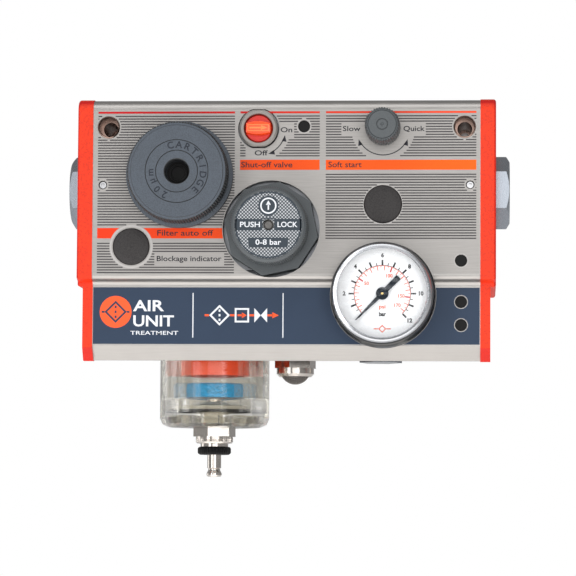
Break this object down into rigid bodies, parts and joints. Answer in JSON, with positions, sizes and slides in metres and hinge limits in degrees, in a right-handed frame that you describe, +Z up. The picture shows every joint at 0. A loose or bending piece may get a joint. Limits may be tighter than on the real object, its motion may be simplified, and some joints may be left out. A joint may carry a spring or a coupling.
{
  "type": "compressed air preparation unit",
  "caption": "Wall-mounted compressed air unit in a brushed housing: screw-in filter cartridge, drain bowl, shut-off, lockable regulator, soft start and dial gauge.",
  "frame": {"origin": "middle of the wall face of the housing", "axes": "+X to the right seen from the front, +Y into the wall, +Z up"},
  "size_m": [0.223, 0.097, 0.1879],
  "materials": {
    "brushed_body": "brushed and anodised",
    "end_orange": "fine texture",
    "block_alloy": "machined",
    "steel": "zinc plated",
    "nickel": "nickel plated",
    "dark_nickel": "turned",
    "wire_mesh": "woven",
    "printed_aluminium": "brushed with printed stripes",
    "blue_label": "satin film",
    "black_plastic": "speckled",
    "slate_plastic": "fine texture",
    "charcoal_plastic": "moulded",
    "knob_print": "printed film",
    "orange_plastic": "moulded",
    "rubber": "matt",
    "filter_medium": "sintered",
    "white_plastic": "moulded",
    "clear_bowl": "clear, slightly smoked",
    "float_blue": "speckled",
    "gauge_black": "satin black",
    "polished_rim": "polished",
    "clear_lens": "clear",
    "dial_white": "printed dial",
    "pointer_dark": "matt",
    "brass": "turned"
  },
  "bodies": {
    "unit": {"housing": "brushed_body", "left_end_cover": "end_orange", "right_end_cover": "end_orange", "end_cover_screws": "steel", "block_screws": "steel", "mounting_sleeves": "nickel", "control_label": "printed_aluminium", "name_label": "blue_label", "indicator_port_plug": "black_plastic", "switch_port_plug": "black_plastic", "blanking_plugs": "black_plastic", "filter_regulator_block": "block_alloy", "soft_start_block": "block_alloy", "port_inserts": "dark_nickel", "port_locking_screws": "steel", "shut_off_gland": "steel", "regulator_nut": "charcoal_plastic", "main_spring": "steel", "poppet_spring": "steel", "soft_start_spring": "steel", "gauge_case": "gauge_black", "gauge_bezel": "polished_rim", "gauge_lens": "clear_lens", "gauge_dial": "dial_white", "gauge_movement_plate": "brass", "bourdon_tube": "brass", "gauge_socket": "brass", "deflector": "orange_plastic", "silencer_body": "nickel", "silencer_ring": "nickel", "silencer_mesh": "wire_mesh", "service_port_plug": "dark_nickel"},
    "shut_off_valve": {"shut_off_knob": "orange_plastic", "shut_off_spool": "nickel"},
    "adjuster": {"adjusting_screw": "steel", "knob_screw": "steel"},
    "adjusting_knob": {"regulator_knob": "charcoal_plastic", "knob_disc": "knob_print"},
    "spring_carrier": {"spring_nut": "nickel"},
    "piston": {"regulator_piston": "nickel"},
    "poppet": {"regulator_poppet": "nickel"},
    "cartridge": {"filter_element": "filter_medium", "element_end_caps": "white_plastic"},
    "cartridge_cap": {"cartridge_cap": "slate_plastic", "cap_seal": "rubber"},
    "soft_start_knob": {"soft_start_knob": "slate_plastic"},
    "needle": {"soft_start_needle": "nickel"},
    "soft_start_piston": {"soft_start_piston": "nickel"},
    "gauge_pointer": {"gauge_pointer": "pointer_dark", "pointer_arbor": "brass"},
    "gauge_sector": {"gauge_sector": "brass"},
    "bowl_travel": {"bowl_seal": "rubber"},
    "bowl": {"bowl": "clear_bowl", "drain_gasket": "rubber", "drain_body": "nickel", "drain_nut": "nickel", "drain_spring": "steel"},
    "float": {"float": "float_blue"},
    "drain_ring": {"drain_ring": "black_plastic"},
    "drain_stem": {"drain_stem": "nickel"}
  },
  "joints": [
    {"name": "shut_off_turn", "type": "hinge", "parent": "unit", "child": "shut_off_valve", "pos_m": [-0.0137, 0, 0.0502], "axis": [0, 1, 0], "range_deg": [0, 90]},
    {"name": "pressure_turn", "type": "hinge", "parent": "unit", "child": "adjuster", "pos_m": [-0.0072, 0, 0], "axis": [0, 1, 0], "range_deg": [0, 1440]},
    {"name": "knob_unlock", "type": "slide", "parent": "adjuster", "child": "adjusting_knob", "axis": [0, -1, 0], "range_m": [0, 0.003]},
    {"name": "spring_carrier_travel", "type": "slide", "parent": "unit", "child": "spring_carrier", "axis": [0, 1, 0], "range_m": [0, 0.004], "deforming": ["main_spring"]},
    {"name": "piston_travel", "type": "slide", "parent": "unit", "child": "piston", "axis": [0, 1, 0], "range_m": [0, 0.0012], "stiffness_N_per_m": 800, "deforming": ["main_spring"]},
    {"name": "poppet_travel", "type": "slide", "parent": "unit", "child": "poppet", "axis": [0, 1, 0], "range_m": [0, 0.0012], "deforming": ["poppet_spring"]},
    {"name": "cartridge_travel", "type": "slide", "parent": "unit", "child": "cartridge", "axis": [0, -1, 0], "range_m": [0, 0.0045]},
    {"name": "cap_turn", "type": "hinge", "parent": "cartridge", "child": "cartridge_cap", "pos_m": [-0.053, 0, 0.027], "axis": [0, -1, 0], "range_deg": [0, 1080]},
    {"name": "soft_start_turn", "type": "hinge", "parent": "unit", "child": "soft_start_knob", "pos_m": [0.0484, 0, 0.0502], "axis": [0, -1, 0], "range_deg": [0, 1080]},
    {"name": "needle_travel", "type": "slide", "parent": "unit", "child": "needle", "axis": [0, -1, 0], "range_m": [0, 0.0018]},
    {"name": "soft_start_piston_travel", "type": "slide", "parent": "unit", "child": "soft_start_piston", "axis": [0, 1, 0], "range_m": [0, 0.003], "stiffness_N_per_m": 400, "deforming": ["soft_start_spring"]},
    {"name": "gauge_pointer_turn", "type": "hinge", "parent": "unit", "child": "gauge_pointer", "pos_m": [0.0485, 0, -0.0328], "axis": [0, 1, 0], "range_deg": [0, 270]},
    {"name": "gauge_sector_turn", "type": "hinge", "parent": "unit", "child": "gauge_sector", "pos_m": [0.0317, 0, -0.0328], "axis": [0, 1, 0], "range_deg": [-45, 0]},
    {"name": "bowl_drop", "type": "slide", "parent": "unit", "child": "bowl_travel", "axis": [0, 0, -1], "range_m": [0, 0.0045]},
    {"name": "bowl_turn", "type": "hinge", "parent": "bowl_travel", "child": "bowl", "pos_m": [-0.0383, -0.0342, 0], "axis": [0, 0, -1], "range_deg": [0, 1080]},
    {"name": "float_lift", "type": "slide", "parent": "bowl", "child": "float", "axis": [0, 0, 1], "range_m": [0, 0.0035]},
    {"name": "drain_ring_turn", "type": "hinge", "parent": "bowl", "child": "drain_ring", "pos_m": [-0.0383, -0.0342, 0], "axis": [0, 0, 1], "range_deg": [0, 90]},
    {"name": "drain_stem_push", "type": "slide", "parent": "bowl", "child": "drain_stem", "axis": [0, 0, 1], "range_m": [0, 0.002], "stiffness_N_per_m": 300, "deforming": ["drain_spring"]}
  ],
  "couplings": [
    {"joint": "spring_carrier_travel", "follows": "pressure_turn", "m_per_rad": 0.00015915},
    {"joint": "poppet_travel", "follows": "piston_travel", "ratio": 1},
    {"joint": "cartridge_travel", "follows": "cap_turn", "m_per_rad": 0.00023873},
    {"joint": "needle_travel", "follows": "soft_start_turn", "m_per_rad": 0.000095493},
    {"joint": "gauge_pointer_turn", "follows": "gauge_sector_turn", "ratio": -6},
    {"joint": "bowl_drop", "follows": "bowl_turn", "m_per_rad": 0.00023873}
  ]
}
